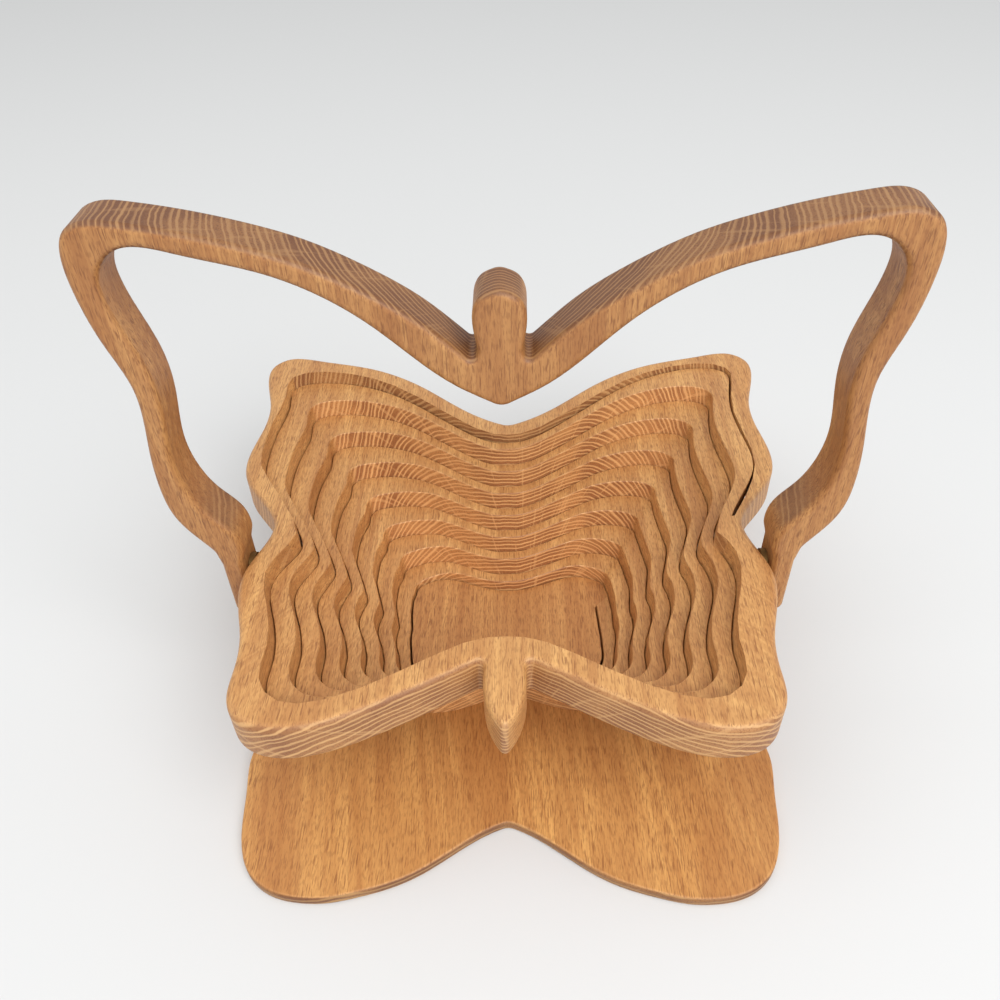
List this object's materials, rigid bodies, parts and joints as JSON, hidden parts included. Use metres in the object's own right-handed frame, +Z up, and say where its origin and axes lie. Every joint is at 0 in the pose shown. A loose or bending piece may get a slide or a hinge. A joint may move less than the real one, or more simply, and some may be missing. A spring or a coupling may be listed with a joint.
{
  "type": "collapsible wooden basket",
  "caption": "Butterfly-shaped basket sawn as one spiral from an oak board, sinking flat onto its base board, with a folding handle.",
  "frame": {"origin": "middle of the footprint, on the surface that the basket stands on", "axes": "+Z up, +X across the wings to the right, -Y towards the butterfly's abdomen, the front"},
  "size_m": [0.2728, 0.2565, 0.2294],
  "materials": {
    "oak_board": "oiled honey oak, satin, open grain",
    "oak_strip": "oiled honey oak, satin, sawn walls",
    "oak_base": "varnished oak veneer board, satin",
    "oak_button": "turned oak, satin",
    "screw_steel": "zinc plated",
    "brass_washer": "plain, dulled"
  },
  "bodies": {
    "base": {"base_board": "oak_base", "base_screws": "screw_steel", "centre_panel": "oak_strip", "turn_7": "oak_strip"},
    "sixth_turn": {"turn_6": "oak_strip"},
    "fifth_turn": {"turn_5": "oak_strip"},
    "fourth_turn": {"turn_4": "oak_strip"},
    "third_turn": {"turn_3": "oak_strip"},
    "second_turn": {"turn_2": "oak_strip"},
    "first_turn": {"turn_1": "oak_strip"},
    "rim": {"rim": "oak_board", "pivot_screw_left": "screw_steel", "pivot_screw_right": "screw_steel", "pivot_washer_left": "brass_washer", "pivot_washer_right": "brass_washer"},
    "handle": {"handle": "oak_board", "pivot_button_left": "oak_button", "pivot_button_right": "oak_button"}
  },
  "joints": [
    {"name": "collapse", "type": "slide", "parent": "base", "child": "sixth_turn", "axis": [0, 0, -1], "range_m": [0, 0.00965]},
    {"name": "fifth_turn_sinks", "type": "slide", "parent": "sixth_turn", "child": "fifth_turn", "axis": [0, 0, -1], "range_m": [0, 0.00826]},
    {"name": "fourth_turn_sinks", "type": "slide", "parent": "fifth_turn", "child": "fourth_turn", "axis": [0, 0, -1], "range_m": [0, 0.00826]},
    {"name": "third_turn_sinks", "type": "slide", "parent": "fourth_turn", "child": "third_turn", "axis": [0, 0, -1], "range_m": [0, 0.00826]},
    {"name": "second_turn_sinks", "type": "slide", "parent": "third_turn", "child": "second_turn", "axis": [0, 0, -1], "range_m": [0, 0.00826]},
    {"name": "first_turn_sinks", "type": "slide", "parent": "second_turn", "child": "first_turn", "axis": [0, 0, -1], "range_m": [0, 0.00826]},
    {"name": "rim_sinks", "type": "slide", "parent": "first_turn", "child": "rim", "axis": [0, 0, -1], "range_m": [0, 0.00826]},
    {"name": "handle_folds", "type": "hinge", "parent": "rim", "child": "handle", "pos_m": [0, -0.017, 0.0738], "axis": [-1, 0, 0], "range_deg": [0, 90]}
  ],
  "couplings": [
    {"joint": "fifth_turn_sinks", "follows": "collapse", "ratio": 0.85567},
    {"joint": "fourth_turn_sinks", "follows": "collapse", "ratio": 0.85567},
    {"joint": "third_turn_sinks", "follows": "collapse", "ratio": 0.85567},
    {"joint": "second_turn_sinks", "follows": "collapse", "ratio": 0.85567},
    {"joint": "first_turn_sinks", "follows": "collapse", "ratio": 0.85567},
    {"joint": "rim_sinks", "follows": "collapse", "ratio": 0.85567}
  ]
}
